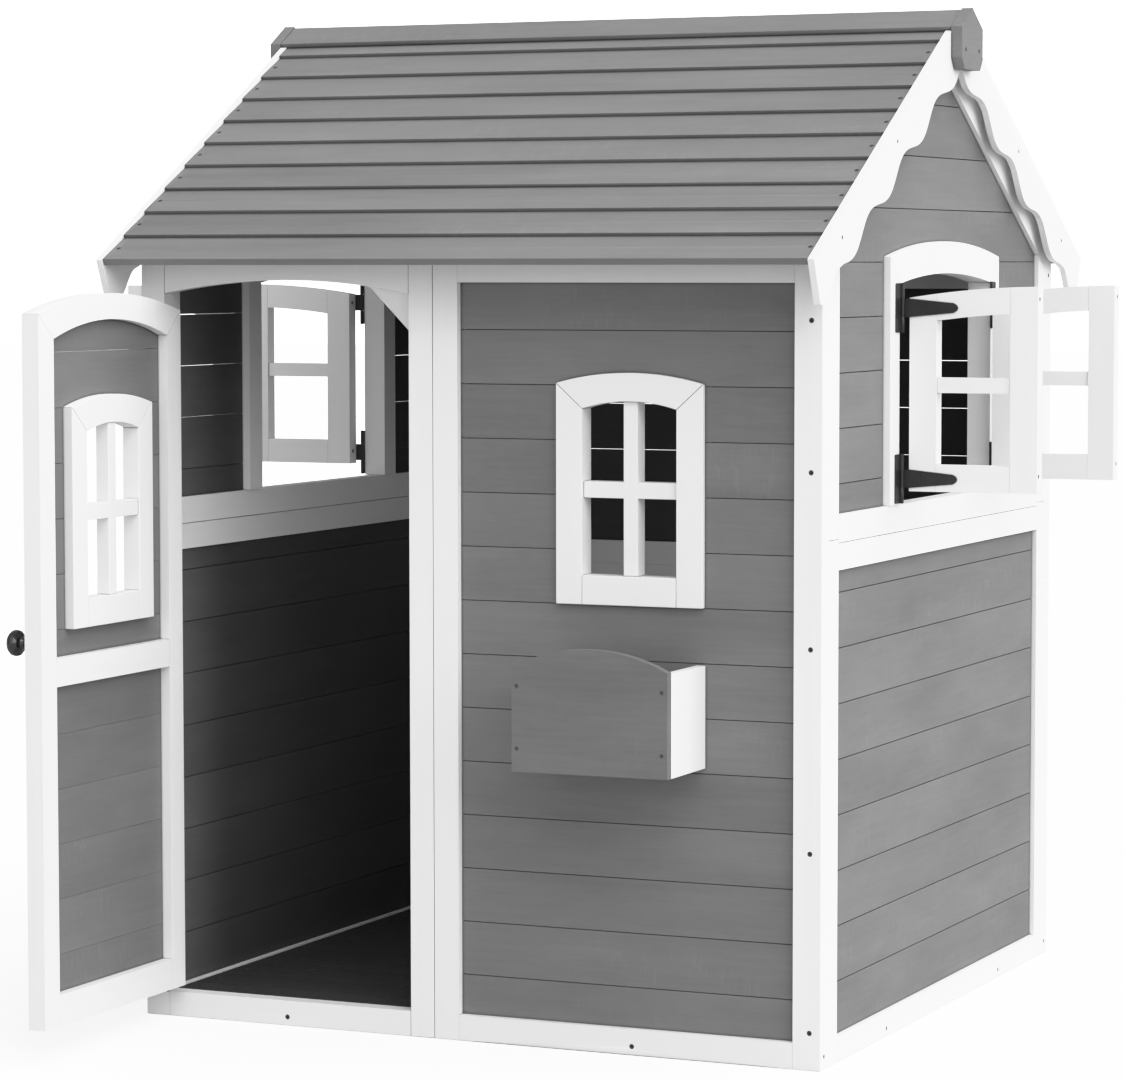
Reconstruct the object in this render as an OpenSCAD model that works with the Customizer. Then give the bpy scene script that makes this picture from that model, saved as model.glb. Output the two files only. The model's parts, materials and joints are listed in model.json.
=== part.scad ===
// Wooden garden playhouse: framed board walls, a gabled clapboard roof,
// a hinged door and two pairs of hinged window sashes.
// Millimetres. +X to the right of the front wall, +Y from front to back,
// +Z up. Origin: middle of the footprint, on the ground.
// The door and the sashes are drawn open by the two angles below.

/* [House] */
// Width of the front wall
house_w = 1000; // [980:5:1040]
// Depth from the front face to the back face
house_d = 988; // [970:2:1010]
// Thickness of a wall frame
wall_t = 25; // [24:1:27]
// Width of the frame timbers
stile = 36; // [34:1:38]
// Gap left between two wall boards
board_gap = 1; // [0.8:0.1:2]
// Thickness of a wall board
board_t = 12; // [11:1:13]
// Gap left at the joints of a frame
joint = 0.3; // [0.1:0.05:0.4]

/* [Walls] */
// Pitch of the front wall boards
front_pitch = 72.35; // [70:0.05:75]
// Pitch of the lower side wall boards
side_pitch = 73.2; // [70:0.05:75]
// Pitch of the gable boards
gable_pitch = 72.03; // [70:0.05:75]
// Height of the lower side panel
lower_h = 688; // [680:1:700]
// Depth of the front boards behind the frame face
front_recess = 11; // [9:0.5:12]
// Depth of the side boards behind the frame face
side_recess = 7; // [5:0.5:9]

/* [Doorway] */
// Clear width of the doorway
door_w = 374; // [370:1:378]
// Height of the door sill
sill_h = 34.5; // [32:0.5:38]
// Height of the lintel at its ends
lintel_z = 1004.5; // [1000:0.5:1008]
// Rise of the lintel arch
lintel_rise = 18; // [14:1:22]

/* [Door] */
// Opening angle the door is drawn at
door_angle = 90; // [0:5:120]
// Width of the door
leaf_w = 370; // [366:1:371]
// Bottom edge of the door
leaf_z = 46; // [42:1:50]
// Height of the door's top corners
leaf_top = 981; // [976:1:984]
// Rise of the door's arched head
leaf_rise = 25; // [20:1:27]

/* [Windows] */
// Opening angle the sashes are drawn at
sash_angle = 90; // [0:5:175]
// Width of one sash
sash_w = 179.5; // [170:0.5:182]
// Width of the side window opening
side_open_w = 395; // [390:1:400]
// Width of the fixed window opening
fixed_open_w = 134.5; // [130:0.5:140]
// Width of a window casing
casing = 37.25; // [35:0.25:40]
// Width of a glazing bar
bar_w = 20; // [18:0.5:22]

/* [Roof] */
// Roof slope in degrees
roof_a = 30.2; // [29.6:0.1:30.6]
// Visible width of one roof board
exposure = 66; // [65:0.5:67]
// Number of roof boards on a slope
roof_n = 10; // [10:1:10]
// Length the roof boards run past the side walls
roof_over = 11.5; // [10:0.5:16]
// Thickness of a barge board
barge_t = 9; // [8:0.5:12]
// Thickness of a ridge end block
cap_t = 16; // [12:1:20]

/* [Hidden] */

WHITE = [0.93, 0.93, 0.93];
GREY = [0.42, 0.42, 0.43];
SLAT_GREY = [0.3, 0.3, 0.31];
BEARER_GREY = [0.6, 0.6, 0.6];
ROOF_GREY = [0.5, 0.5, 0.51];
BLACK = [0.08, 0.08, 0.08];
STEEL = [0.35, 0.35, 0.36];
ARC_FN = 360;

half_w = house_w / 2;
half_d = house_d / 2;
left_x = -half_w;
front_y = -half_d;
inner_y = front_y + wall_t;  // inner face of the front wall
base_rail_h = 35;

// front wall, from left to right
door_left = left_x + stile;
door_right = door_left + door_w;
panel_left = door_right + stile + 0.4;
boards_left = panel_left + stile;
boards_right = half_w - 38;

// roof slope: a line rising from the underside of the lowest board's edge
slope_cos = cos(roof_a);
slope_sin = sin(roof_a);
slope_tan = tan(roof_a);
butt_t = 9.5;  // thickness of a roof board at its lower edge
eave_out = 85;
eave_z = 1051.5;
foot_y = front_y - eave_out + butt_t * slope_sin;
foot_z = eave_z - butt_t * slope_cos;
ridge_along = -foot_y / slope_cos;
roof_end = half_w + roof_over;

// underside of the front roof boards at y
function deck(y) = foot_z + (y - foot_y) * slope_tan;
// [y, z] of a point along the front slope and up from its underside
function slope_at(along, up) = [foot_y + along * slope_cos - up * slope_sin,
  foot_z + along * slope_sin + up * slope_cos];

// ----------------------------------------------------------------- helpers
// children and their mirror image across the middle of the house
module both_x() { for (s = [0, 1]) mirror([s, 0, 0]) children(); }
module both_y() { for (s = [0, 1]) mirror([0, s, 0]) children(); }
// profile drawn in X and Z, from y0 back to y0 + t
module slab_y(y0, t) {
  translate([0, y0 + t, 0]) rotate([90, 0, 0]) linear_extrude(t) children();
}
// profile drawn in Y and Z, from x0 right to x0 + t
module slab_x(x0, t) { translate([x0, 0, 0]) rotate([90, 0, 90]) linear_extrude(t) children(); }
// rectangle between two corners
module span(x0, z0, x1, z1) { translate([x0, z0]) square([x1 - x0, z1 - z0]); }
// round-headed outline from z0: corners at h, risen by rise in the middle
module arch(w, h, rise, z0) {
  r = (w * w / 4 + rise * rise) / (2 * rise);
  intersection() {
    span(-w / 2, z0, w / 2, h + rise + 1);
    translate([0, h + rise - r]) circle(r, $fn = ARC_FN);
  }
}
// head and two jambs of a round-headed frame, mitred at the corners;
// inner and outer are [corner height, rise], side_w is the width of a jamb
module round_frame(open_w, z0, inner, outer, side_w) {
  in_x = open_w / 2;
  out_x = in_x + side_w;
  in_z = inner[0];
  out_z = outer[0];
  difference() {
    intersection() {
      arch(2 * out_x, out_z, outer[1], z0);
      polygon([[-out_x, out_z + joint], [-in_x, in_z + joint], [in_x, in_z + joint],
        [out_x, out_z + joint], [out_x, out_z + 90], [-out_x, out_z + 90]]);
    }
    arch(open_w, in_z, inner[1], z0 - 1);
  }
  both_x() polygon([[-out_x, z0], [-in_x, z0], [-in_x, in_z - joint], [-out_x, out_z - joint]]);
}
// front wall timber, its top cut to the slope of the roof
module to_roof(x0, x1, z0) {
  y1 = inner_y;
  slab_x(x0, x1 - x0)
    polygon([[front_y, z0], [y1, z0], [y1, deck(y1) - 0.1], [front_y, deck(front_y) - 0.1]]);
}
// stacked boards between z0 and z1, with a joint every pitch from first
module board_rows(x0, x1, z0, z1, first, pitch, gap = board_gap) {
  for (i = [-1:16]) {
    bottom = max(z0, first + i * pitch + gap / 2);
    top = min(z1, first + (i + 1) * pitch - gap / 2);
    if (top - bottom > 3) span(x0, bottom, x1, top);
  }
}

// ------------------------------------------------- screws and their holes
bore_r = 1.8;
shank_r = 1.75;
head_gap = 0.05;  // between a head and its sinking
wall_len = 42;
edge_len = 56;
edge_in = 15;  // from the side faces to the screws in the front wall's edges

// head and shank, both rising along +Z
module stepped(head_h, head_r, shank_h, shank_r, head_z = 0, shank_z = 0) {
  translate([0, 0, head_z]) cylinder(h = head_h, r = head_r, $fn = 32);
  translate([0, 0, shank_z]) cylinder(h = shank_h, r = shank_r, $fn = 24);
}
// into a front face, at [x, z] places
module bore_front(places, len, face = front_y, head_r = 3.5) {
  for (p = places) translate([p[0], face - 1, p[1]]) rotate([-90, 0, 0])
    stepped(3.1, head_r, len + 1.6, bore_r);
}
module screw_front(places, len, face = front_y, head_r = 3.5) {
  for (p = places) translate([p[0], face + 0.5, p[1]]) rotate([-90, 0, 0])
    stepped(1.6, head_r - head_gap, len, shank_r);
}
// into a right-hand face, at [y, z] places
module bore_right(places, len, face = half_w, head_r = 3.2) {
  for (p = places) translate([face + 1, p[0], p[1]]) rotate([0, -90, 0])
    stepped(3.1, head_r, len + 1.6, bore_r);
}
module screw_right(places, len, face = half_w, head_r = 3.2) {
  for (p = places) translate([face - 0.5, p[0], p[1]]) rotate([0, -90, 0])
    stepped(1.6, head_r - head_gap, len, shank_r);
}
// heights of the screws at the two edges of the front wall
RIGHT_EDGE_Z = [972, 776.7, 548.4, 283.2, 49.2];
LEFT_EDGE_Z = [776.7, 548.4, 283.2];
// [x, z] at the right edge, for the heights between z0 and z1
function edge_places(heights, z0 = 0, z1 = 1100) =
  [for (z = heights) if (z > z0 && z < z1) [half_w - edge_in, z]];
// [x, z] in the door sill and in the front panel's bottom rail
FRONT_FOOT = [[left_x + 221, 12], [left_x + 735, 12]];
// [y, z] on the side faces: bottom rail, front wall edge, back wall edge
SIDE_RAIL = [[front_y + 259, 11], [front_y + 750, 11]];
SIDE_FRONT = [[front_y + 15, 17.3]];
SIDE_BACK = [[half_d - 13, 18], [half_d - 13, 1026]];

module wall_screws() {
  color(STEEL) {
    screw_front(concat(edge_places(RIGHT_EDGE_Z), FRONT_FOOT), wall_len - 0.5);
    mirror([1, 0, 0]) screw_front(edge_places(LEFT_EDGE_Z), wall_len - 0.5);
    both_x() {
      screw_right(SIDE_RAIL, wall_len - 0.5);
      screw_right(concat(SIDE_FRONT, SIDE_BACK), edge_len - 0.5);
    }
  }
}

// ---------------------------------------------------------------- doorway
module door_frame_left_stile() {
  color(WHITE) difference() {
    to_roof(left_x, door_left, 0);
    mirror([1, 0, 0]) {
      bore_front(edge_places(LEFT_EDGE_Z), wall_len);
      bore_right(SIDE_FRONT, edge_len);
    }
    at_heights([door_pin[0], front_y], DOOR_HINGE_Z) on_front() plate_pilots();
  }
}
module door_frame_right_stile() { color(WHITE) to_roof(door_right, door_right + stile - 0.6, 0); }
module door_lintel() {
  color(WHITE) difference() {
    to_roof(door_left + joint, door_right - joint, lintel_z - 1);
    slab_y(front_y - 1, wall_t + 2) translate([(door_left + door_right) / 2, 0])
      arch(door_w, lintel_z, lintel_rise, lintel_z - 60);
  }
}
module door_sill() {
  color(WHITE) difference() {
    translate([door_left + joint, front_y, 0]) cube([door_w - 2 * joint, wall_t, sill_h]);
    bore_front([FRONT_FOOT[0]], wall_len);
    mirror([1, 0, 0]) bore_right(SIDE_FRONT, edge_len);
  }
}
// triangle behind the doorway's top right corner, its long edge at 45 degrees
module door_stop() {
  stop_top = 1036;
  stop_right = door_right + 30;
  diagonal = left_x + 1353;  // x + z along the long edge
  color(WHITE) slab_y(inner_y, 12) polygon([[diagonal - stop_top, stop_top],
    [stop_right, stop_top], [stop_right, diagonal - stop_right]]);
}

// ----------------------------------------- fixed window, in wall and door
fixed_z0 = 596;
fixed_rail_top = 634.5;
fixed_inner = [854.7, 10];  // corner height and rise of the opening
fixed_outer = [fixed_inner[0] + casing - 4, 14.2];
module fixed_outline() {
  arch(fixed_open_w + 2 * casing, fixed_outer[0], fixed_outer[1], fixed_z0);
}
module fixed_casing() {
  round_frame(fixed_open_w, fixed_z0, fixed_inner, fixed_outer, casing);
  span(-fixed_open_w / 2 + joint, fixed_z0, fixed_open_w / 2 - joint, fixed_rail_top);
}
// one upright bar and a crossbar in two halves
module fixed_bars(y0, depth) {
  slab_y(y0, depth) intersection() {
    span(-bar_w / 2, fixed_rail_top, bar_w / 2, fixed_inner[0] + 12);
    arch(fixed_open_w, fixed_inner[0], fixed_inner[1], fixed_rail_top);
  }
  both_x() slab_y(y0, depth) span(bar_w / 2, 737, fixed_open_w / 2, 758.5);
}

// ------------------------------------------------------------- front panel
front_win_x = left_x + 729.2;
front_rail_z = 1020;  // underside of the top rail
module front_panel_frame() {
  color(WHITE) difference() {
    union() {
      to_roof(panel_left, boards_left, 0);
      to_roof(boards_right, half_w, 0);
      translate([boards_left + joint, front_y, 0])
        cube([boards_right - boards_left - 2 * joint, wall_t, base_rail_h]);
      to_roof(boards_left + joint, boards_right - joint, front_rail_z);
    }
    bore_front(concat(edge_places(RIGHT_EDGE_Z), [FRONT_FOOT[1]]), wall_len);
    bore_right(SIDE_FRONT, edge_len);
  }
}
module front_panel_boards() {
  color(GREY) difference() {
    slab_y(front_y + front_recess, board_t) difference() {
      board_rows(boards_left, boards_right, base_rail_h, front_rail_z, 89.2, front_pitch);
      translate([front_win_x, 0]) fixed_outline();
    }
    planter_wall_bores();
  }
}
module front_window_casing() {
  color(WHITE) translate([front_win_x, 0, 0]) slab_y(front_y + 3, 32) fixed_casing();
}
module front_window_bars() {
  color(WHITE) translate([front_win_x, 0, 0]) fixed_bars(front_y + 9.5, 25.5);
}

// ----------------------------------------------------------------- planter
planter_left = left_x + 616;
planter_right = left_x + 835;
planter_w = planter_right - planter_left;
planter_y = front_y - 119;
planter_z = 386;
planter_front_t = 13;
planter_side_t = 12;
box_y = planter_y + planter_front_t;
box_d = front_y + front_recess - box_y;
// [x, z] of the screws through the planter's front
PLANTER_SCREWS = [[planter_left + 7, 498], [planter_left + 7, 416.3],
  [planter_right - 8, 497.5], [planter_right - 8, 416.3]];
// screws driven from inside the house through the wall boards into the planter's sides
module at_wall_fixings(y) {
  for (x = [planter_left + planter_side_t / 2, planter_right - planter_side_t / 2], z = [420, 490])
    translate([x, front_y + front_recess + board_t + y, z]) rotate([90, 0, 0]) children();
}
module planter_wall_bores() { at_wall_fixings(1) stepped(3, 3.2, 42, bore_r); }
module planter_bores() { bore_front(PLANTER_SCREWS, 30, planter_y, 3); }
module planter_front() {
  color(GREY) difference() {
    slab_y(planter_y, planter_front_t) translate([(planter_left + planter_right) / 2, 0])
      arch(planter_w, 523, 26, planter_z);
    planter_bores();
  }
}
module planter_box() {
  color(WHITE) {
    difference() {
      for (x = [planter_left, planter_right - planter_side_t])
        translate([x, box_y, planter_z]) cube([planter_side_t, box_d, 135]);
      planter_bores();
      planter_wall_bores();
    }
    translate([planter_left + planter_side_t + joint, box_y, planter_z])
      cube([planter_w - 2 * (planter_side_t + joint), box_d, 10]);
  }
}
module planter_screws() {
  color(STEEL) {
    screw_front(PLANTER_SCREWS, 29, planter_y, 3);
    at_wall_fixings(-0.3) stepped(1.5, 3.15, 40, shank_r);
  }
}

// ------------------------------- side walls, drawn right, mirrored to left
seam = 0.9;  // gap between the lower panel and the gable
side_stile = 38;
side_y = inner_y + side_stile;  // front end of the rails and boards
side_x = half_w - wall_t;
side_board_x = half_w - side_recess - board_t;
gable_rail_z = lower_h - 5;
lower_rail_z = gable_rail_z - stile;
verge_rail_h = 60 / slope_cos + 0.1;  // upright height of a sloping rail
side_win_y = front_y + 488;
side_win_z = 720;
side_inner = [1017.3, 13.7];  // corner height and rise of the opening
side_outer = [side_inner[0] + casing - 1.05, 21.3];
module side_rail(z, h) {
  translate([side_x, side_y + joint, z]) cube([wall_t, -2 * (side_y + joint), h]);
}
module lower_frame(edge_z) {
  color(WHITE) {
    difference() {
      both_y() translate([side_x, inner_y, 0]) cube([wall_t, side_stile, lower_h - seam]);
      bore_front(edge_places(edge_z, 0, lower_h), wall_len);
    }
    difference() {
      side_rail(0, base_rail_h);
      bore_right(SIDE_RAIL, wall_len);
    }
    side_rail(lower_rail_z, stile - seam);
  }
}
module right_lower_frame() { lower_frame(RIGHT_EDGE_Z); }
module right_lower_boards() {
  color(GREY) slab_x(side_board_x, board_t)
    board_rows(side_y, -side_y, base_rail_h, lower_rail_z, 104.2, side_pitch);
}
module gable_frame(edge_z) {
  under_rail = verge_rail_h + joint;
  mid_y = -0.1;
  color(WHITE) {
    difference() {
      both_y() slab_x(side_x, wall_t) polygon([[inner_y, lower_h], [side_y, lower_h],
        [side_y, deck(side_y) - under_rail], [inner_y, deck(inner_y) - under_rail]]);
      bore_front(edge_places(edge_z, lower_h), wall_len);
    }
    both_y() slab_x(side_x, wall_t) polygon([
      [inner_y, deck(inner_y) - 0.1], [mid_y, deck(mid_y) - 0.1],
      [mid_y, deck(mid_y) - verge_rail_h], [inner_y, deck(inner_y) - verge_rail_h]]);
    side_rail(gable_rail_z, side_win_z - gable_rail_z - joint);
  }
}
module right_gable_frame() { gable_frame(RIGHT_EDGE_Z); }
module right_gable_boards() {
  under_rail = verge_rail_h + 0.1;
  color(GREY) slab_x(side_board_x, board_t) difference() {
    intersection() {
      board_rows(side_y, -side_y, side_win_z, 1400, 758.2, gable_pitch);
      polygon([[side_y, side_win_z], [-side_y, side_win_z], [-side_y, deck(side_y) - under_rail],
        [0, deck(0) - under_rail], [side_y, deck(side_y) - under_rail]]);
    }
    translate([side_win_y, 0])
      arch(side_open_w + 2 * casing, side_outer[0], side_outer[1], side_win_z);
  }
}
module right_window_casing() {
  color(WHITE) difference() {
    translate([0, side_win_y, 0]) slab_x(side_x - 6, wall_t + 9)
      round_frame(side_open_w, side_win_z, side_inner, side_outer, casing);
    both_halves() at_heights([casing_x, sash_pin[1]], SASH_HINGE_Z) plate_pilots();
  }
}
module left_lower_frame() { mirror([1, 0, 0]) lower_frame(LEFT_EDGE_Z); }
module left_lower_boards() { mirror([1, 0, 0]) right_lower_boards(); }
module left_gable_frame() { mirror([1, 0, 0]) gable_frame(LEFT_EDGE_Z); }
module left_gable_boards() { mirror([1, 0, 0]) right_gable_boards(); }
module left_window_casing() { mirror([1, 0, 0]) right_window_casing(); }

// --------------------------------------------------------------- back wall
back_seam = 573;  // meeting line of the lower and upper panels
back_top = 1006;  // underside of the top rail
back_y = half_d - wall_t;
back_rail_x = half_w - stile - joint;
module back_rail(z, h) {
  translate([-back_rail_x, back_y, z]) cube([2 * back_rail_x, wall_t, h]);
}
module back_panel_frame() {
  color(WHITE) difference() {
    union() {
      both_x() {
        translate([half_w - stile, back_y, 0]) cube([stile, wall_t, back_seam - joint]);
        mirror([0, 1, 0]) to_roof(half_w - stile, half_w, back_seam);
      }
      back_rail(0, base_rail_h);
      back_rail(back_seam - stile, stile - joint);
      back_rail(back_seam, stile);
      mirror([0, 1, 0]) to_roof(-back_rail_x, back_rail_x, back_top);
    }
    both_x() bore_right(SIDE_BACK, edge_len);
  }
}
module back_panel_boards() {
  edge_x = half_w - stile;
  color(GREY) slab_y(half_d - side_recess - board_t, board_t) {
    board_rows(-edge_x, edge_x, base_rail_h, back_seam - stile, 103, front_pitch);
    board_rows(-edge_x, edge_x, back_seam + stile, back_top, 680.4, 72.2);
  }
}

// ------------------------------------------------------------------- floor
slat_last = 12;  // index of the slat furthest back
slat_pitch = 76.3;
slat_gap = 4;
slat_t = 12;
slat_x = side_x - 3;  // half length of a slat
slat_end_y = inner_y + 3;
groove_w = 2;
bearer_h = 21;
bearer_w = 44;
end_bearer_d = 22;
BEARER_X = [-slat_x + bearer_w / 2, 0, slat_x - bearer_w / 2];
function slat_joint(i) = front_y + 11.1 + slat_pitch * i;
function slat_front(i) = max(slat_end_y, slat_joint(i) + slat_gap / 2);
function slat_back(i) = min(-slat_end_y, slat_joint(i + 1) - slat_gap / 2);
module at_floor_screws() {
  for (i = [0:slat_last], x = BEARER_X)
    translate([x, (slat_front(i) + slat_back(i)) / 2, 0]) children();
}
module floor_slats() {
  color(SLAT_GREY) difference() {
    for (i = [0:slat_last]) let (y0 = slat_front(i), w = slat_back(i) - y0) difference() {
      translate([-slat_x, y0, bearer_h]) cube([2 * slat_x, w, slat_t]);
      if (w > 50) for (g = [1:6])
        translate([-half_w, y0 + g * w / 7 - groove_w / 2, bearer_h + slat_t - 1])
          cube([house_w, groove_w, 5]);
    }
    at_floor_screws() stepped(5, 3.5, 40, bore_r, head_z = bearer_h + 9);
  }
}
module floor_bearers() {
  y0 = inner_y + end_bearer_d + joint;
  color(BEARER_GREY) difference() {
    union() {
      for (x = BEARER_X) translate([x - bearer_w / 2, y0, 0]) cube([bearer_w, -2 * y0, bearer_h]);
      both_y() translate([-slat_x, inner_y + 0.1, 0])
        cube([2 * slat_x, end_bearer_d - 0.1, bearer_h]);
    }
    bore_front(FRONT_FOOT, wall_len);
    both_x() bore_right(SIDE_RAIL, wall_len);
    at_floor_screws() translate([0, 0, 8]) cylinder(h = bearer_h - 7, r = bore_r, $fn = 24);
  }
}
module floor_screws() {
  color(STEEL) at_floor_screws()
    stepped(1.4, 3.45, bearer_h + 1, shank_r, head_z = bearer_h + 9, shank_z = 8.2);
}

// -------------------------------------------------------------------- roof
thin_t = 4.6;  // thickness of a roof board at its upper edge
rebate_t = 4.7;
rebate_w = 10.5;
lap_w = 10;
roof_screw_x = half_w + 3.4;
rafter_d = 25;
verge_start = 92;
mid_start = 123;
mid_w = 22;
// [y, z] of the screws in a front barge board, and of those in a ridge end block
BARGE_SCREWS = [[front_y + 229, 1205.7], [front_y + 16, 1078]];
CAP_SCREWS = [[-29, 1338]];
// section of roof board k, [along, up]: tapered, rebated over the board below
function roof_section(k) =
  let (end = k == roof_n - 1 ? ridge_along - k * exposure - 0.3 : exposure + lap_w)
  concat([[0, k == 0 ? 0 : rebate_t], [0, butt_t], [exposure, thin_t], [end, thin_t], [end, 0]],
    k == 0 ? [] : [[rebate_w, 0], [rebate_w, rebate_t]]);
// depth a screw in board k runs into the rafter below
function bite(k) = k < 1 ? 0 : k < 2 ? 14 : 22;
module at_roof_screws(k) {
  spot = slope_at((k + 0.5) * exposure, 0);
  for (x = [-roof_screw_x, roof_screw_x])
    translate([x, spot[0], spot[1]]) rotate([roof_a, 0, 0]) children();
}
module roof_bores(first) {
  for (k = [first:roof_n - 2]) at_roof_screws(k)
    stepped(6, 3.2, bite(k) + 9, bore_r, head_z = 5, shank_z = -bite(k) - 1);
}
module roof_boards_front() {
  color(ROOF_GREY) difference() {
    for (k = [0:roof_n - 1]) slab_x(-roof_end, 2 * roof_end)
      translate([foot_y, foot_z]) rotate(roof_a) translate([k * exposure, 0])
        polygon(roof_section(k));
    roof_bores(0);
  }
}
module roof_boards_back() { mirror([0, 1, 0]) roof_boards_front(); }
// rafter side, from start on its upper edge and foot on its lower edge
module rafter_side(start, foot) {
  top = ridge_along - 0.4;
  polygon([slope_at(start, -0.1), slope_at(top, -0.1),
    slope_at(top - rafter_d * slope_tan, -rafter_d), slope_at(foot, -rafter_d)]);
}
module roof_rafters() {
  color(WHITE) both_y() difference() {
    union() {
      for (x = [-roof_end + 0.1, half_w + 0.1])
        slab_x(x, roof_over - 0.2) rafter_side(verge_start, verge_start);
      slab_x(-mid_w / 2, mid_w) rafter_side(mid_start, mid_start + rafter_d * 1.72);
    }
    roof_bores(1);
    both_x() barge_bores();
  }
}
module roof_screws() {
  color(STEEL) both_y() {
    for (k = [0:roof_n - 2]) at_roof_screws(k)
      stepped(1.3, 3.15, bite(k) + 5, shank_r, head_z = 5.05, shank_z = 0.2 - bite(k));
    both_x() {
      screw_right(BARGE_SCREWS, 17, barge_x, 3);
      screw_right(CAP_SCREWS, 23, cap_x, 3);
    }
  }
}

// ----------------------------------------------- barge boards and the ridge
barge_x = roof_end + barge_t;  // outer face of a barge board
cap_x = barge_x + cap_t;       // outer face of a ridge end block
cap_start = 620.5;             // where the ridge boards begin, along the slope
barge_steps = 72;
barge_low = -8;                // ends of the waved edge, back from front_y
barge_high = half_d - 31.4;
// rounded foot of a barge board, [y from front_y, z]
BARGE_FOOT = [[8, 1039.6], [0, 1037], [-7, 1031.5], [-14, 1023],
  [-23, 1010], [-33, 999], [-41, 993], [-63, 993]];
// outline of a ridge end block, [y, z]
RIDGE_END = [[0, 1396.7], [46, 1369], [46, 1327], [34, 1311],
  [-34, 1311], [-46, 1327], [-46, 1369]];
// width of a barge board across its slope, and the [y, z] of its waved edge,
// y back from front_y
function barge_w(y) = 61.2 + 10.3 * cos(360 * (y - 161) / 133.5);
function barge_edge(y) = [front_y + y + barge_w(y) * slope_sin,
  eave_z + (y + eave_out) * slope_tan - barge_w(y) * slope_cos];
// distance along the slope to plane y, at a height above the underside
function along_to(y, up) = (y - foot_y + up * slope_sin) / slope_cos;
module barge_profile() {
  under_cap = 7.6;
  polygon(concat(
    [slope_at(-2.5, butt_t), slope_at(cap_start, butt_t),
      slope_at(cap_start, under_cap), slope_at(along_to(-0.25, under_cap), under_cap)],
    [for (i = [0:barge_steps])
      barge_edge(barge_high + (barge_low - barge_high) * i / barge_steps)],
    [for (p = BARGE_FOOT) [front_y + p[0], p[1]]]));
}
module barge_bores() { bore_right(BARGE_SCREWS, 18, barge_x, 3); }
module cap_bores() { bore_right(CAP_SCREWS, 24, cap_x, 3); }
module right_front_barge() {
  color(WHITE) difference() {
    slab_x(roof_end, barge_t) barge_profile();
    barge_bores();
    cap_bores();
  }
}
module right_back_barge() { mirror([0, 1, 0]) right_front_barge(); }
module left_front_barge() { mirror([1, 0, 0]) right_front_barge(); }
module left_back_barge() { mirror([1, 0, 0]) right_back_barge(); }
module ridge_board_front() {
  low = 7.7;
  high = 15;
  start = cap_start + 0.5;
  color(ROOF_GREY) slab_x(-barge_x, 2 * barge_x)
    polygon([slope_at(start, low), slope_at(start, high),
      slope_at(along_to(-0.1, high), high), slope_at(along_to(-0.1, low), low)]);
}
module ridge_board_back() { mirror([0, 1, 0]) ridge_board_front(); }
module ridge_end_right() {
  color(ROOF_GREY) difference() {
    slab_x(barge_x, cap_t) polygon(RIDGE_END);
    both_y() cap_bores();
  }
}
module ridge_end_left() { mirror([1, 0, 0]) ridge_end_right(); }

// ------------------------------------------------------------------ hinges
// T hinge, drawn closed on a face at x = 0 that looks to +X, pin along Z,
// plate towards -Y and strap towards +Y
plate_len = 66;
plate_w = 21;
leaf_metal = 1.6;  // thickness of plate and strap
knuckle_r = 2.8;
pin_r = 1.6;
plate_gap = 12.8;  // half the gap between the plate's knuckles
strap_half = 12.5;
SASH_HINGE_Z = [985, 755];
DOOR_HINGE_Z = [938, 68];
// [y, z] of the hinge screws from the pin
PLATE_HOLES = [[-8, 26], [-14, 12], [-14, -12], [-8, -26]];
STRAP_HOLES = [[28, 5], [44, -5], [62, 0]];
// strap outline, [y, z]
STRAP = [[0, -strap_half], [8, -strap_half], [71, -6.5], [76, -3.5], [77.5, 0],
  [76, 3.5], [71, 6.5], [8, strap_half], [0, strap_half]];

module at_heights(spot, heights) {
  for (z = heights) translate([spot[0], spot[1], z]) children();
}
module hinge_holes(places, x0, depth) {
  for (p = places) translate([x0, p[0], p[1]]) rotate([0, 90, 0])
    cylinder(h = depth, r = 1.3, $fn = 24);
}
module plate_pilots() { hinge_holes(PLATE_HOLES, -4, 4.5); }
module hinge_screws(places, x0, head_h, head_r, shank_z, shank_h) {
  for (p = places) translate([x0, p[0], p[1]]) rotate([0, 90, 0]) {
    translate([0, 0, leaf_metal]) cylinder(h = head_h, r = head_r, $fn = 24);
    translate([0, 0, shank_z]) cylinder(h = shank_h, r = 1.25, $fn = 24);
  }
}
// plate with its screws; the pin stands pin_out in front of the face
module hinge_plate(pin_out) {
  knuckle_h = plate_len / 2 - plate_gap;
  difference() {
    union() {
      difference() {
        slab_x(0, leaf_metal) hull() for (z = [-1, 1], y = [-plate_w + 2, -4])
          translate([y, z * (plate_len / 2 - 2)]) circle(2, $fn = 24);
        hinge_holes(PLATE_HOLES, -1, 4);
      }
      for (s = [0, 1]) mirror([0, 0, s]) {
        translate([pin_out, 0, plate_gap]) cylinder(h = knuckle_h, r = knuckle_r, $fn = 32);
        translate([0, -5, plate_gap]) cube([leaf_metal, 5, knuckle_h]);
        translate([0, -3, plate_gap]) cube([pin_out, 3, knuckle_h]);
      }
    }
    translate([pin_out, 0, -50]) cylinder(h = 100, r = pin_r, $fn = 32);
    translate([-1, -3.2, -plate_gap]) cube([12, 10, 2 * plate_gap]);
  }
  hinge_screws(PLATE_HOLES, 0, 0.7, 2.2, -3.5, 5.4);
}
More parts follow.
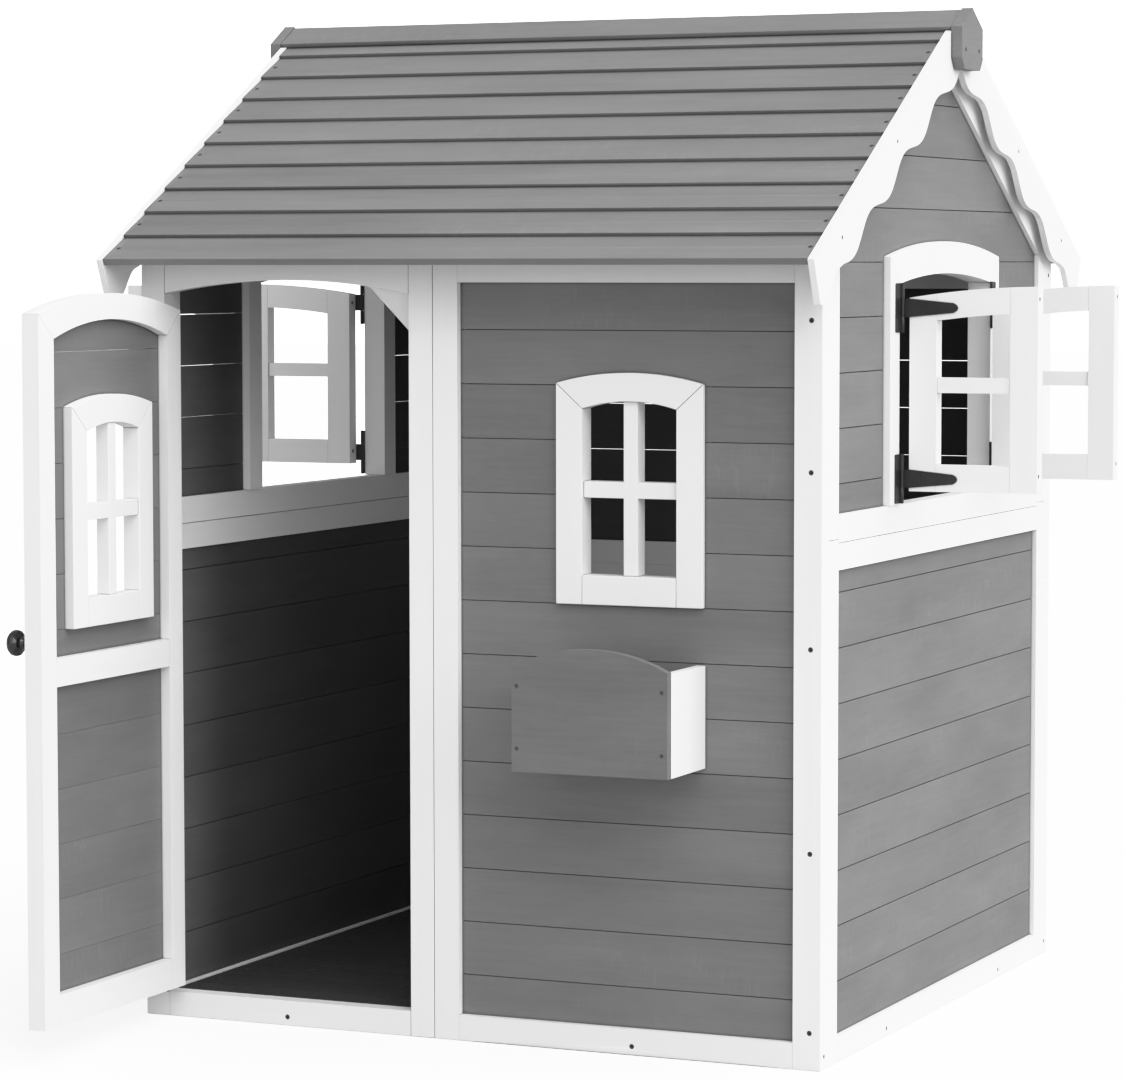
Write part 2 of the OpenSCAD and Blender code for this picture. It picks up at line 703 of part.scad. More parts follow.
// strap with its screws, drawn about its pin; its back is at x = back
module hinge_strap(back) {
  difference() {
    union() {
      translate([0, 0, -strap_half]) cylinder(h = 2 * strap_half, r = knuckle_r, $fn = 32);
      slab_x(back, leaf_metal) polygon(STRAP);
    }
    translate([0, 0, -20]) cylinder(h = 40, r = pin_r + 0.05, $fn = 32);
    hinge_holes(STRAP_HOLES, back - 1, 4);
  }
  hinge_screws(STRAP_HOLES, back, 0.9, 2.3, 0.1, 2);
}
module hinge_pin() {
  translate([0, 0, -plate_len / 2 - 0.5]) cylinder(h = plate_len + 1, r = pin_r, $fn = 32);
}
// turns closed parts open about an upright pin at [x, y]
module swing(pin, angle) {
  translate([pin[0], pin[1], 0]) rotate([0, 0, -angle]) translate([-pin[0], -pin[1], 0])
    children();
}

// side window hinges, on the outer face of the right casing
casing_x = half_w + 3;
sash_pin = [casing_x + 3, side_win_y - side_open_w / 2 + 2.5];
sash_x = casing_x - 0.5;  // outer face of a closed sash
module swing_sash() { swing(sash_pin, sash_angle) children(); }
// front-half parts mirrored to the back half of the side window
module back_half() {
  translate([0, side_win_y, 0]) mirror([0, 1, 0]) translate([0, -side_win_y, 0]) children();
}
module both_halves() {
  children();
  back_half() children();
}
module right_window_hinge_plates() {
  color(BLACK) both_halves() at_heights([casing_x, sash_pin[1]], SASH_HINGE_Z)
    hinge_plate(sash_pin[0] - casing_x);
}
module left_window_hinge_plates() { mirror([1, 0, 0]) right_window_hinge_plates(); }

// door hinges, on the outer face of the left stile
door_pin_out = 4.5;
door_pin = [left_x + 35.5, front_y - door_pin_out];
module swing_door() { swing(door_pin, door_angle) children(); }
// turns a hinge drawn on a +X face onto the front face, strap to the right
module on_front() { rotate([0, 0, -90]) children(); }
module door_hinge_plates() {
  color(BLACK) at_heights([door_pin[0], front_y], DOOR_HINGE_Z) on_front()
    hinge_plate(door_pin_out);
}
module door_hinge_straps() {
  color(BLACK) swing_door() at_heights(door_pin, DOOR_HINGE_Z) on_front() hinge_strap(-3.5);
}
module hinge_pins() {
  color(STEEL) {
    at_heights(door_pin, DOOR_HINGE_Z) hinge_pin();
    both_x() both_halves() at_heights(sash_pin, SASH_HINGE_Z) hinge_pin();
  }
}

// --------------------------------------------------------- door, drawn closed
leaf_left = left_x + 37;
leaf_x = leaf_left + leaf_w / 2;
leaf_y = front_y - 1;
leaf_t = 25.5;
leaf_stile = 37;
leaf_open_w = leaf_w - 2 * leaf_stile;
leaf_inner = [leaf_top - leaf_stile + 4, leaf_rise - 1];  // corner height and rise
base_rail_top = 88;
mid_rail_z = 494;
mid_rail_top = mid_rail_z + leaf_stile;
// the fixed window again, left of the door's middle and lower than in the wall
door_win_dx = -2;
door_win_dz = -30;
knob_at = [leaf_left + leaf_w - 18, leaf_y, 552];
// knob profile, [radius, distance out from the door]
KNOB = [[0, 0], [11, 0], [11, 2], [7, 4], [6.2, 10], [8, 14], [13, 16],
  [16.5, 19], [17.5, 23], [16.8, 27], [14, 30.5], [9, 32.6], [0, 33.5]];
module door_leaf_frame() {
  rail_x = leaf_open_w / 2 - joint;
  color(WHITE) swing_door() difference() {
    translate([leaf_x, 0, 0]) slab_y(leaf_y, leaf_t) {
      round_frame(leaf_open_w, leaf_z, leaf_inner, [leaf_top, leaf_rise], leaf_stile);
      span(-rail_x, leaf_z, rail_x, base_rail_top);
      span(-rail_x, mid_rail_z, rail_x, mid_rail_top);
    }
    translate(knob_at - [0, 1, 0]) rotate([-90, 0, 0]) cylinder(h = 21, r = 2.05, $fn = 24);
  }
}
module door_leaf_boards() {
  edge_x = leaf_open_w / 2;
  color(GREY) swing_door() translate([leaf_x, 0, 0]) slab_y(leaf_y + 0.5, 11) difference() {
    intersection() {
      union() {
        board_rows(-edge_x, edge_x, mid_rail_top, 1000, 566.5, 72.7, 0.6);
        board_rows(-edge_x, edge_x, base_rail_top, mid_rail_z, 137.5, 72.8, joint);
      }
      arch(leaf_open_w, leaf_inner[0], leaf_inner[1], 80);
    }
    translate([door_win_dx, door_win_dz]) fixed_outline();
  }
}
module in_door_window() {
  swing_door() translate([leaf_x + door_win_dx, 0, door_win_dz]) children();
}
module door_window_casing() { color(WHITE) in_door_window() slab_y(leaf_y, leaf_t) fixed_casing(); }
module door_window_bars() { color(WHITE) in_door_window() fixed_bars(leaf_y + 4, 19.5); }
module door_knob() {
  color(BLACK) swing_door() translate(knob_at) rotate([90, 0, 0]) {
    translate([0, 0, -16]) cylinder(h = 20, r = 2, $fn = 24);
    rotate_extrude($fn = 64) polygon(KNOB);
  }
}

// ---------------------- sashes, drawn closed in the right wall's front half
sash_y = sash_pin[1] + 9;
sash_z = 738;
sash_top = 1013.5;
sash_r = 1158;  // radius of the top edge, centred on the window
sash_stile = 38;
sash_rail = 36;
sash_t = 22;
// heights of the screws in the free stile, then in the hinged stile
SASH_SCREW_Z = [[997, 761], [985, 757]];
module sash_disc(inset) {
  translate([side_win_y, sash_top - sash_r]) circle(sash_r - inset, $fn = ARC_FN);
}
// screws through the stiles into the ends of the top and bottom rails
module at_sash_screws(depth) {
  for (e = [0, 1], z = SASH_SCREW_Z[e])
    translate([sash_x - (e == 0 ? 8 : 11), e == 0 ? sash_y + sash_w : sash_y, z])
      rotate([e == 0 ? 90 : -90, 0, 0]) translate([0, 0, depth]) children();
}
module sash_closed() {
  free_y = sash_y + sash_w;
  rail_y0 = sash_y + sash_stile + joint;
  rail_y1 = free_y - sash_stile - joint;
  over = sash_top + 4;
  difference() {
    slab_x(sash_x - sash_t, sash_t) {
      for (y = [sash_y, free_y - sash_stile]) intersection() {
        span(y, sash_z, y + sash_stile, over);
        sash_disc(0);
      }
      difference() {
        intersection() {
          span(rail_y0, 900, rail_y1, over);
          sash_disc(0);
        }
        sash_disc(35.5);
      }
      span(rail_y0, sash_z, rail_y1, sash_z + sash_rail);
    }
    at_sash_screws(-2) stepped(4.1, 3.2, 56, bore_r);
  }
  // glazing bar
  slab_x(sash_x - 19, 16) span(rail_y0, 871, rail_y1, 891.5);
}
module right_front_sash() { color(WHITE) swing_sash() sash_closed(); }
module right_front_sash_straps() {
  color(BLACK) swing_sash() at_heights(sash_pin, SASH_HINGE_Z) hinge_strap(sash_x - sash_pin[0]);
  color(STEEL) swing_sash() at_sash_screws(0.5) stepped(1.6, 3.15, 52.5, shank_r);
}
module right_back_sash() { back_half() right_front_sash(); }
module right_back_sash_straps() { back_half() right_front_sash_straps(); }
module left_front_sash() { mirror([1, 0, 0]) right_front_sash(); }
module left_front_sash_straps() { mirror([1, 0, 0]) right_front_sash_straps(); }
module left_back_sash() { mirror([1, 0, 0]) right_back_sash(); }
module left_back_sash_straps() { mirror([1, 0, 0]) right_back_sash_straps(); }

door_frame_left_stile();
door_frame_right_stile();
door_lintel();
door_sill();
door_stop();
front_panel_frame();
front_panel_boards();
front_window_casing();
front_window_bars();
planter_front();
planter_box();
right_lower_frame();
right_lower_boards();
right_gable_frame();
right_gable_boards();
right_window_casing();
left_lower_frame();
left_lower_boards();
left_gable_frame();
left_gable_boards();
left_window_casing();
back_panel_frame();
back_panel_boards();
floor_slats();
floor_bearers();
floor_screws();
roof_boards_front();
roof_boards_back();
roof_rafters();
right_front_barge();
right_back_barge();
left_front_barge();
left_back_barge();
ridge_board_front();
ridge_board_back();
ridge_end_right();
ridge_end_left();
wall_screws();
roof_screws();
planter_screws();
door_hinge_plates();
right_window_hinge_plates();
left_window_hinge_plates();
hinge_pins();
door_leaf_frame();
door_leaf_boards();
door_window_casing();
door_window_bars();
door_knob();
door_hinge_straps();
right_front_sash();
right_front_sash_straps();
right_back_sash();
right_back_sash_straps();
left_front_sash();
left_front_sash_straps();
left_back_sash();
left_back_sash_straps();
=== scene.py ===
import bpy, bmesh, json, math
from mathutils import Vector, Matrix

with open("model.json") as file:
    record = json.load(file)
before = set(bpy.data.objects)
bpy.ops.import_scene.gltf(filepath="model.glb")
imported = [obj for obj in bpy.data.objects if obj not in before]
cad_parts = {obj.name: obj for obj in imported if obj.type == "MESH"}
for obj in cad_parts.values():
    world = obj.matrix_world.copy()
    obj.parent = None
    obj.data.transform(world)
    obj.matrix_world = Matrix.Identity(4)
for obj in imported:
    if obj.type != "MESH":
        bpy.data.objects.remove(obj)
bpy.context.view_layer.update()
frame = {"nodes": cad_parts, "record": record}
NODES = frame["nodes"]
scene = bpy.context.scene


# ------------------------------------------------------------ node helpers
class Tree:
    """Small helper that adds nodes and links them by value or socket."""

    def __init__(self, tree):
        self.t = tree

    def add(self, kind, ins=None, **props):
        n = self.t.nodes.new(kind)
        for k, v in props.items():
            setattr(n, k, v)
        for k, v in (ins or {}).items():
            self.put(n.inputs[k], v)
        return n

    def put(self, socket, v):
        if isinstance(v, bpy.types.NodeSocket):
            self.t.links.new(v, socket)
        else:
            socket.default_value = v

    def math(self, op, a, b=0.0, c=0.0, clamp=False):
        n = self.add("ShaderNodeMath", operation=op, use_clamp=clamp)
        for i, v in enumerate((a, b, c)):
            self.put(n.inputs[i], v)
        return n.outputs[0]

    def vec(self, op, a, b=(0.0, 0.0, 0.0), s=None):
        n = self.add("ShaderNodeVectorMath", operation=op)
        self.put(n.inputs[0], a)
        if s is not None:
            self.put(n.inputs["Scale"], s)
        else:
            self.put(n.inputs[1], b)
        return n.outputs["Value" if op in ("DOT_PRODUCT", "LENGTH", "DISTANCE") else "Vector"]

    def noise(self, vector, scale, detail=2.0, rough=0.5, dist=0.0):
        n = self.add("ShaderNodeTexNoise", {"Vector": vector, "Scale": scale, "Detail": detail, "Roughness": rough, "Distortion": dist})
        return n.outputs[0]

    def ramp(self, fac, lo, hi, out_lo=0.0, out_hi=1.0, smooth=True):
        n = self.add("ShaderNodeMapRange", {"Value": fac, "From Min": lo, "From Max": hi, "To Min": out_lo, "To Max": out_hi}, clamp=True)
        n.interpolation_type = "SMOOTHSTEP" if smooth else "LINEAR"
        return n.outputs[0]


# -------------------------------------- per-board grain direction and random
def board_group():
    g = bpy.data.node_groups.new("per_board", "GeometryNodeTree")
    g.interface.new_socket("Geometry", in_out="INPUT", socket_type="NodeSocketGeometry")
    g.interface.new_socket("Seed", in_out="INPUT", socket_type="NodeSocketInt")
    g.interface.new_socket("Geometry", in_out="OUTPUT", socket_type="NodeSocketGeometry")
    T = Tree(g)
    gi, go = T.add("NodeGroupInput"), T.add("NodeGroupOutput")
    isl = T.add("GeometryNodeInputMeshIsland").outputs["Island Index"]
    pos = T.add("GeometryNodeInputPosition").outputs[0]

    def live(sockets, name):
        return [s for s in sockets if s.name == name and s.enabled][0]

    def total(v, kind):
        a = T.add("GeometryNodeAccumulateField", data_type=kind, domain="POINT")
        T.put(live(a.inputs, "Value"), v)
        T.put(live(a.inputs, "Group ID") if any(s.name == "Group ID" for s in a.inputs) else a.inputs["Group Index"], isl)
        return live(a.outputs, "Total")

    count = total(1.0, "FLOAT")
    inv = T.math("DIVIDE", 1.0, count)
    mean = T.vec("SCALE", total(pos, "FLOAT_VECTOR"), s=inv)
    sq = T.vec("SCALE", total(T.vec("MULTIPLY", pos, pos), "FLOAT_VECTOR"), s=inv)
    var = T.vec("SUBTRACT", sq, T.vec("MULTIPLY", mean, mean))
    sep = T.add("ShaderNodeSeparateXYZ", {0: var})
    x, y, z = sep.outputs[0], sep.outputs[1], sep.outputs[2]
    gx = T.math("MULTIPLY", T.math("GREATER_THAN", x, y), T.math("GREATER_THAN", x, z))
    gy = T.math("MULTIPLY", T.math("SUBTRACT", 1.0, gx), T.math("GREATER_THAN", y, z))
    gz = T.math("SUBTRACT", 1.0, T.math("ADD", gx, gy))
    comb = T.add("ShaderNodeCombineXYZ", {0: gx, 1: gy, 2: gz}).outputs[0]
    rnd = T.add("FunctionNodeRandomValue", data_type="FLOAT")
    T.put(rnd.inputs["ID"], isl)
    T.put(rnd.inputs["Seed"], gi.outputs["Seed"])
    geo = gi.outputs["Geometry"]
    for name, kind, v in (("grain", "FLOAT_VECTOR", comb), ("rnd", "FLOAT", live(rnd.outputs, "Value")), ("mid", "FLOAT_VECTOR", mean)):
        st = T.add("GeometryNodeStoreNamedAttribute", data_type=kind, domain="POINT")
        T.put(st.inputs["Geometry"], geo)
        st.inputs["Name"].default_value = name
        T.put(live(st.inputs, "Value"), v)
        geo = st.outputs["Geometry"]
    T.put(go.inputs["Geometry"], geo)
    return g


PER_BOARD = board_group()


def dress(name, width, seed, segments=2, angle=35.0):
    """Eases a timber's sharp edges and marks each board with its own grain direction."""
    o = NODES[name]
    w = o.modifiers.new("weld", "WELD")
    w.merge_threshold = 0.00002
    d = o.modifiers.new("flat", "DECIMATE")
    d.decimate_type = "DISSOLVE"
    d.angle_limit = math.radians(0.05)
    if width:
        b = o.modifiers.new("eased_edges", "BEVEL")
        b.width, b.segments, b.limit_method, b.angle_limit = width, segments, "ANGLE", math.radians(angle)
        b.use_clamp_overlap = True
    m = o.modifiers.new("per_board", "NODES")
    m.node_group = PER_BOARD
    for item in PER_BOARD.interface.items_tree:
        if item.item_type == "SOCKET" and item.in_out == "INPUT" and item.name == "Seed":
            m[item.identifier] = seed
    return o


def use(o, mat):
    if not o.material_slots:
        o.data.materials.append(mat)
    for s in o.material_slots:
        s.material = mat


# ---------------------------------------------------------------- materials
def start(name):
    m = bpy.data.materials.new(name)
    m.use_nodes = True
    m.node_tree.nodes.clear()
    T = Tree(m.node_tree)
    out = T.add("ShaderNodeOutputMaterial")
    bsdf = T.add("ShaderNodeBsdfPrincipled")
    m.node_tree.links.new(bsdf.outputs[0], out.inputs["Surface"])
    return m, T, bsdf


def grey(T, v):
    c = T.add("ShaderNodeCombineColor")
    for i in range(3):
        T.put(c.inputs[i], v)
    return c.outputs[0]


def tint(T, v, rgb):
    c = T.add("ShaderNodeCombineColor")
    for i in range(3):
        T.put(c.inputs[i], T.math("MULTIPLY", v, rgb[i]))
    return c.outputs[0]


def wood_fields(T, stretch=0.05):
    """Coordinates of a board: moved by its own random amount and squeezed along its grain."""
    p = T.add("ShaderNodeTexCoord").outputs["Object"]
    g = T.add("ShaderNodeAttribute", attribute_name="grain").outputs["Vector"]
    r = T.add("ShaderNodeAttribute", attribute_name="rnd").outputs["Fac"]
    shift = T.vec("SCALE", (37.0, 53.0, 71.0), s=r)
    q = T.vec("ADD", p, shift)
    u = T.vec("DOT_PRODUCT", q, g)
    along = T.vec("SCALE", g, s=u)
    fine = T.vec("SUBTRACT", q, T.vec("SCALE", along, s=1.0 - stretch))
    broad = T.vec("SUBTRACT", q, T.vec("SCALE", along, s=0.72))
    cross = T.vec("ADD", T.vec("SCALE", along, s=1.0), T.vec("SCALE", T.vec("SUBTRACT", q, along), s=0.24))
    return p, q, fine, broad, cross, r, u


def stained(name, base, contrast=1.0, rough=0.62, rgb=(1.0, 1.0, 1.012), board_var=0.10, bump=0.22, corner_shade=0.0, interior_shade=0.0):
    """Grey wood stain: blotches, brushed streaks, ripple figure and faint pores, plus optional painted shade in
    corners and on the inside faces.
    """
    m, T, bsdf = start(name)
    p, q, fine, broad, cross, r, u = wood_fields(T)
    warp = T.noise(broad, 7.0, 3.0)
    blotch = T.noise(broad, 15.0, 4.0, 0.55, 0.4)
    streak = T.noise(fine, 150.0, 4.0, 0.6)
    hair = T.noise(fine, 620.0, 3.0, 0.65)
    patch = T.ramp(T.noise(broad, 9.0, 2.0), 0.52, 0.70)
    ripple = T.ramp(T.noise(cross, 150.0, 1.0, 0.5, 0.8), 0.50, 0.74)
    brush = T.noise(T.vec("MULTIPLY", q, (1.0, 1.0, 1.0)), 34.0, 5.0, 0.62, 1.2)
    v = T.math("MULTIPLY_ADD", T.math("SUBTRACT", warp, 0.5), 0.42 * contrast, 1.0)
    v = T.math("MULTIPLY_ADD", T.math("SUBTRACT", blotch, 0.5), 0.34 * contrast, v)
    v = T.math("MULTIPLY_ADD", T.math("SUBTRACT", streak, 0.5), 0.22 * contrast, v)
    v = T.math("MULTIPLY_ADD", T.math("SUBTRACT", hair, 0.5), 0.14 * contrast, v)
    v = T.math("MULTIPLY_ADD", T.math("MULTIPLY", patch, ripple), 0.10 * contrast, v)
    v = T.math("MULTIPLY_ADD", T.math("SUBTRACT", brush, 0.5), 0.10 * contrast, v)
    v = T.math("MULTIPLY_ADD", T.math("SUBTRACT", r, 0.5), board_var, v)
    v = T.math("MULTIPLY", v, base)
    # Painted shade: faces inside the walls' footprint are darkened, least near the doorway at the front and most
    # towards the back, standing in for the dim interior and the light falling in through the door.
    if interior_shade:
        sep = T.add("ShaderNodeSeparateXYZ", {0: p})
        m1 = T.math("LESS_THAN", T.math("ABSOLUTE", sep.outputs[0]), 0.4815)
        m2 = T.math("LESS_THAN", T.math("ABSOLUTE", T.math("SUBTRACT", sep.outputs[1], 0.002)), 0.4735)
        interior_shade_ramp = T.ramp(sep.outputs[1], -0.46, -0.27, (1.0 - interior_shade) * 0.35, 1.0 - interior_shade)
        v = T.math("MULTIPLY", v, T.math("SUBTRACT", 1.0, T.math("MULTIPLY", interior_shade_ramp, T.math("MULTIPLY", m1, m2))))
    # Painted shade: an ambient-occlusion pass darkens the colour in corners, joints and under overlaps, such as where
    # boards meet the white frames and under the roof boards' lower edges.
    if corner_shade:
        ao = T.add("ShaderNodeAmbientOcclusion", {"Distance": 0.006}, samples=6)
        v = T.math("MULTIPLY", v, T.ramp(ao.outputs["AO"], 0.50, 0.86, corner_shade, 1.0))
    T.put(bsdf.inputs["Base Color"], tint(T, v, rgb))
    T.put(bsdf.inputs["Roughness"], T.math("MULTIPLY_ADD", blotch, -0.16, rough + 0.08))
    bsdf.inputs["Specular IOR Level"].default_value = 0.32
    h = T.math("ADD", T.math("MULTIPLY", streak, 0.6), T.math("MULTIPLY", hair, 0.4))
    h = T.math("ADD", h, T.math("MULTIPLY", T.math("MULTIPLY", patch, ripple), 0.5))
    bp = T.add("ShaderNodeBump", {"Strength": bump, "Distance": 0.0006, "Height": h})
    T.put(bsdf.inputs["Normal"], bp.outputs[0])
    return m


def painted(name, base=0.82, rough=0.42):
    """White paint on planed softwood: the grain stands up faintly under it, and painted shade darkens it in corners
    and joints.
    """
    m, T, bsdf = start(name)
    p, q, fine, broad, cross, r, u = wood_fields(T, 0.03)
    streak = T.noise(fine, 130.0, 4.0, 0.55, 0.3)
    hair = T.noise(fine, 560.0, 2.0, 0.6)
    wash = T.noise(broad, 13.0, 3.0, 0.5)
    brush = T.noise(fine, 60.0, 2.0, 0.5)
    v = T.math("MULTIPLY_ADD", T.math("SUBTRACT", wash, 0.5), 0.050, 1.0)
    v = T.math("MULTIPLY_ADD", T.math("SUBTRACT", streak, 0.5), 0.045, v)
    v = T.math("MULTIPLY_ADD", T.math("SUBTRACT", brush, 0.5), 0.035, v)
    v = T.math("MULTIPLY_ADD", T.math("SUBTRACT", hair, 0.5), 0.020, v)
    v = T.math("MULTIPLY_ADD", T.math("SUBTRACT", r, 0.5), 0.025, v)
    # Painted shade: ambient occlusion darkens the white down to 42% in corners, joints and narrow slots, where shade
    # falls.
    ao = T.add("ShaderNodeAmbientOcclusion", {"Distance": 0.004}, samples=8)
    v = T.math("MULTIPLY", v, T.ramp(ao.outputs["AO"], 0.34, 0.84, 0.42, 1.0))
    T.put(bsdf.inputs["Base Color"], tint(T, T.math("MULTIPLY", v, base), (1.0, 1.0, 0.997)))
    T.put(bsdf.inputs["Roughness"], T.math("MULTIPLY_ADD", streak, 0.18, rough - 0.06))
    bsdf.inputs["Specular IOR Level"].default_value = 0.4
    h = T.math("ADD", T.math("MULTIPLY", streak, 0.55), T.math("ADD", T.math("MULTIPLY", hair, 0.2), T.math("MULTIPLY", brush, 0.45)))
    bp = T.add("ShaderNodeBump", {"Strength": 0.16, "Distance": 0.0006, "Height": h})
    T.put(bsdf.inputs["Normal"], bp.outputs[0])
    return m


def coated(name, base, rough, scale=900.0, bump=0.2, metal=0.0, var=0.25, coat=0.0):
    m, T, bsdf = start(name)
    p = T.add("ShaderNodeTexCoord").outputs["Object"]
    fine = T.noise(p, scale, 3.0, 0.6)
    broad = T.noise(p, 60.0, 3.0, 0.55)
    v = T.math("MULTIPLY_ADD", T.math("SUBTRACT", broad, 0.5), var, 1.0)
    T.put(bsdf.inputs["Base Color"], grey(T, T.math("MULTIPLY", v, base)))
    T.put(bsdf.inputs["Roughness"], T.math("MULTIPLY_ADD", T.math("SUBTRACT", broad, 0.5), 0.2, rough))
    bsdf.inputs["Metallic"].default_value = metal
    bsdf.inputs["Coat Weight"].default_value = coat
    bp = T.add("ShaderNodeBump", {"Strength": bump, "Distance": 0.0002, "Height": fine})
    T.put(bsdf.inputs["Normal"], bp.outputs[0])
    return m


def screw(name, base, rough, head=0.0032):
    """Plated screw: a cross recess, found from each screw's own axis, dents the head and is darkened with painted
    shade; the head is also darker towards its rim.
    """
    m, T, bsdf = start(name)
    p = T.add("ShaderNodeTexCoord").outputs["Object"]
    g = T.add("ShaderNodeAttribute", attribute_name="grain").outputs["Vector"]
    mid = T.add("ShaderNodeAttribute", attribute_name="mid").outputs["Vector"]
    r = T.add("ShaderNodeAttribute", attribute_name="rnd").outputs["Fac"]
    d = T.vec("SUBTRACT", p, mid)
    flat = T.vec("SUBTRACT", d, T.vec("SCALE", g, s=T.vec("DOT_PRODUCT", d, g)))
    spin = T.add("ShaderNodeVectorRotate", {"Vector": flat, "Axis": g, "Angle": T.math("MULTIPLY", r, 3.14)})
    sep = T.add("ShaderNodeSeparateXYZ", {0: spin.outputs[0]})
    gs = T.add("ShaderNodeSeparateXYZ", {0: g})
    x, y, z = (T.math("ABSOLUTE", c) for c in sep.outputs[:3])
    big = 1.0
    x = T.math("MULTIPLY_ADD", gs.outputs[0], big, x)
    y = T.math("MULTIPLY_ADD", gs.outputs[1], big, y)
    z = T.math("MULTIPLY_ADD", gs.outputs[2], big, z)
    arm = T.math("MINIMUM", x, T.math("MINIMUM", y, z))
    rad = T.vec("LENGTH", flat)
    slot = T.math("MULTIPLY", T.ramp(arm, 0.00042, 0.00062, 1.0, 0.0), T.ramp(rad, head * 0.62, head * 0.72, 1.0, 0.0))
    rim = T.ramp(rad, head * 0.80, head * 1.0, 1.0, 0.55)
    broad = T.noise(p, 700.0, 3.0, 0.6)
    v = T.math("MULTIPLY", T.math("MULTIPLY_ADD", broad, 0.3, 0.85), base)
    # Painted shade: the cross recess is darkened to 15% of the head's colour; the line after makes the head darker
    # towards its rim.
    v = T.math("MULTIPLY", v, T.math("MULTIPLY_ADD", slot, -0.85, 1.0))
    v = T.math("MULTIPLY", v, rim)
    T.put(bsdf.inputs["Base Color"], grey(T, v))
    T.put(bsdf.inputs["Roughness"], T.math("MULTIPLY_ADD", broad, 0.15, rough))
    bsdf.inputs["Metallic"].default_value = 0.15
    bsdf.inputs["Specular IOR Level"].default_value = 0.3
    bp = T.add("ShaderNodeBump", {"Strength": 0.6, "Distance": 0.0005, "Height": T.math("SUBTRACT", 1.0, slot)})
    T.put(bsdf.inputs["Normal"], bp.outputs[0])
    return m


WHITE = painted("white_painted_timber")
# Wall and roof boards get painted corner shade; the wall boards also get painted shade on their inside faces.
BOARD = stained("grey_stained_board", 0.158, corner_shade=0.45, interior_shade=0.34)
ROOF = stained("grey_stained_roof", 0.168, 0.9, corner_shade=0.5)
FLOOR = stained("dark_stained_decking", 0.040, 0.9, 0.55)
BARE = stained("planed_softwood", 0.42, 0.5, 0.6, (1.0, 0.84, 0.64))
HINGE = coated("black_powder_coat", 0.013, 0.42, 1500.0, 0.35)
STEEL = coated("dull_zinc", 0.16, 0.38, 2500.0, 0.15, 1.0)
DARK = coated("dark_screw", 0.035, 0.5, 2500.0, 0.15, 0.15)
WALL_SCREW = screw("dark_cross_head_screw", 0.055, 0.5, 0.0035)
BOX_SCREW = screw("zinc_cross_head_screw", 0.13, 0.4, 0.003)
KNOB = coated("black_lacquer", 0.012, 0.22, 700.0, 0.05, 0.0, 0.2, 0.5)

SLOT = {s["node"]: s["material_slot"] for s in frame["record"]["subparts"]}
LOOK = {"white_frame": WHITE, "grey_boards": BOARD, "grey_roof": ROOF, "dark_floor": FLOOR, "bare_timber": BARE,
        "black_hinges": HINGE, "dark_screws": DARK, "black_knob": KNOB}
EASE = {"white_frame": 0.0009, "grey_boards": 0.0004, "grey_roof": 0.0009, "dark_floor": 0.0008, "bare_timber": 0.001}
for i, n in enumerate(sorted(NODES)):
    slot = SLOT[n]
    use(NODES[n], LOOK[slot])
    if slot in EASE:
        dress(n, EASE[slot], 11 + 7 * i)
for n, look in (("wall_screws", WALL_SCREW), ("planter_screws", BOX_SCREW)):
    use(NODES[n], look)
    dress(n, 0.00025, 5, 1)
use(NODES["floor_screws"], HINGE)
for n in NODES:
    if n.endswith("_plates") or n.endswith("_straps"):
        dress(n, 0.0003, 3, 1)

# ------------------------------------------------------------------- stage
def studio_floor():
    me = bpy.data.meshes.new("studio_floor")
    me.from_pydata([(-40, -40, 0), (40, -40, 0), (40, 40, 0), (-40, 40, 0)], [], [(0, 1, 2, 3)])
    o = bpy.data.objects.new("studio_floor", me)
    scene.collection.objects.link(o)
    m, T, bsdf = start("pale_floor")
    cam = T.add("ShaderNodeLightPath").outputs["Is Camera Ray"]
    T.put(bsdf.inputs["Base Color"], grey(T, T.math("MULTIPLY_ADD", cam, FLOOR_SEEN - FLOOR_LIT, FLOOR_LIT)))
    bsdf.inputs["Roughness"].default_value = 0.9
    bsdf.inputs["Specular IOR Level"].default_value = 0.1
    bsdf.inputs["Emission Color"].default_value = (1.0, 1.0, 1.0, 1.0)
    T.put(bsdf.inputs["Emission Strength"], T.math("MULTIPLY", cam, 0.7))
    me.materials.append(m)
    o.location.z = -0.0005


FLOOR_SEEN, FLOOR_LIT = 0.93, 0.45
studio_floor()

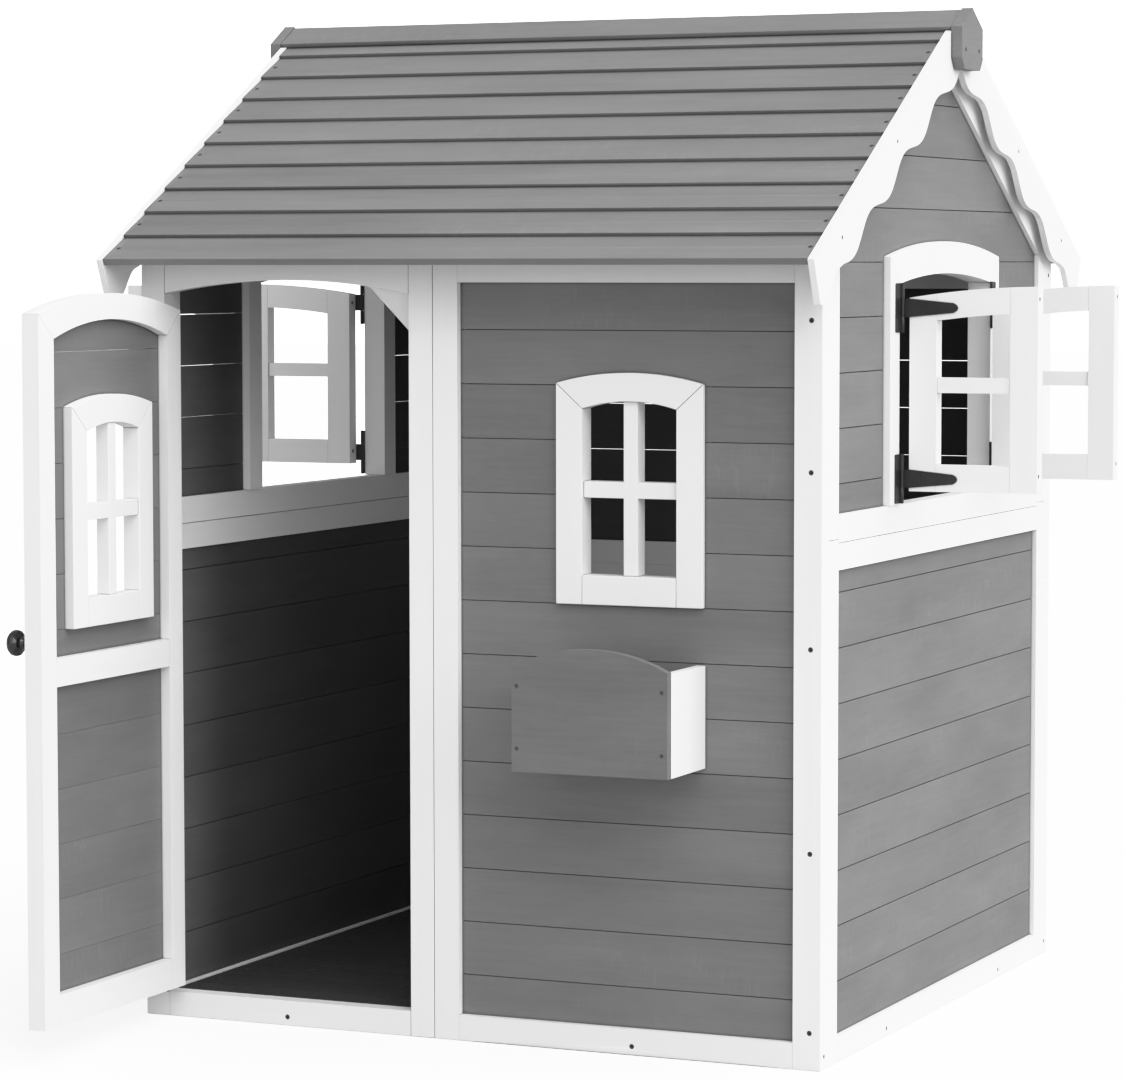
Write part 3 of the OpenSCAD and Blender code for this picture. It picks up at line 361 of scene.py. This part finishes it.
world = bpy.data.worlds.new("studio")
scene.world = world
world.use_nodes = True
world.node_tree.nodes.clear()
W = Tree(world.node_tree)
bg_cam = W.add("ShaderNodeBackground", {"Color": (1, 1, 1, 1), "Strength": 3.0})
bg_lit = W.add("ShaderNodeBackground", {"Color": (1, 1, 1, 1), "Strength": 0.45})
mix = W.add("ShaderNodeMixShader")
world.node_tree.links.new(W.add("ShaderNodeLightPath").outputs["Is Camera Ray"], mix.inputs[0])
world.node_tree.links.new(bg_lit.outputs[0], mix.inputs[1])
world.node_tree.links.new(bg_cam.outputs[0], mix.inputs[2])
world.node_tree.links.new(mix.outputs[0], W.add("ShaderNodeOutputWorld").inputs[0])


def sun(name, towards, strength, angle):
    d = bpy.data.lights.new(name, "SUN")
    d.energy, d.angle = strength, math.radians(angle)
    o = bpy.data.objects.new(name, d)
    o.rotation_mode = "QUATERNION"
    o.rotation_quaternion = Vector(towards).to_track_quat("Z", "Y")
    scene.collection.objects.link(o)


sun("key", (1.0, -0.05, 1.0), 4.7, 90)
sun("fill", (0.25, -1.0, 0.50), 0.9, 70)

cam_d = bpy.data.cameras.new("camera")
cam = bpy.data.objects.new("camera", cam_d)
scene.collection.objects.link(cam)
cam_d.sensor_width, cam_d.lens = 36.0, 36.0 * 3978.8 / 1124.0
cam_d.clip_start, cam_d.clip_end = 0.1, 100.0
yaw, pitch, roll = math.radians(24.029), math.radians(4.001), math.radians(-0.056)
cam.matrix_world = (Matrix.Translation((2.2694, -5.2815, 1.0473)) @ Matrix.Rotation(yaw, 4, "Z")
                    @ Matrix.Rotation(math.pi / 2 - pitch, 4, "X") @ Matrix.Rotation(roll, 4, "Z"))
scene.camera = cam

scene.view_settings.view_transform = "Standard"
scene.view_settings.look = "None"
scene.view_settings.exposure = 0.0
scene.view_settings.gamma = 1.0
scene.view_settings.use_curve_mapping = True
cm = scene.view_settings.curve_mapping
cm.extend = "HORIZONTAL"
cm.white_level = (3.0, 3.0, 3.0)
curve = cm.curves[3]
curve.points[0].location = (0.0, 0.0)
curve.points[1].location = (1.0, 1.0)
for x, y in ((0.4, 0.4), (0.75, 0.75), (1.0, 0.885), (1.4, 0.955), (2.0, 0.99)):
    curve.points.new(x / 3.0, y)
for pt in curve.points:
    pt.handle_type = "VECTOR"
cm.update()
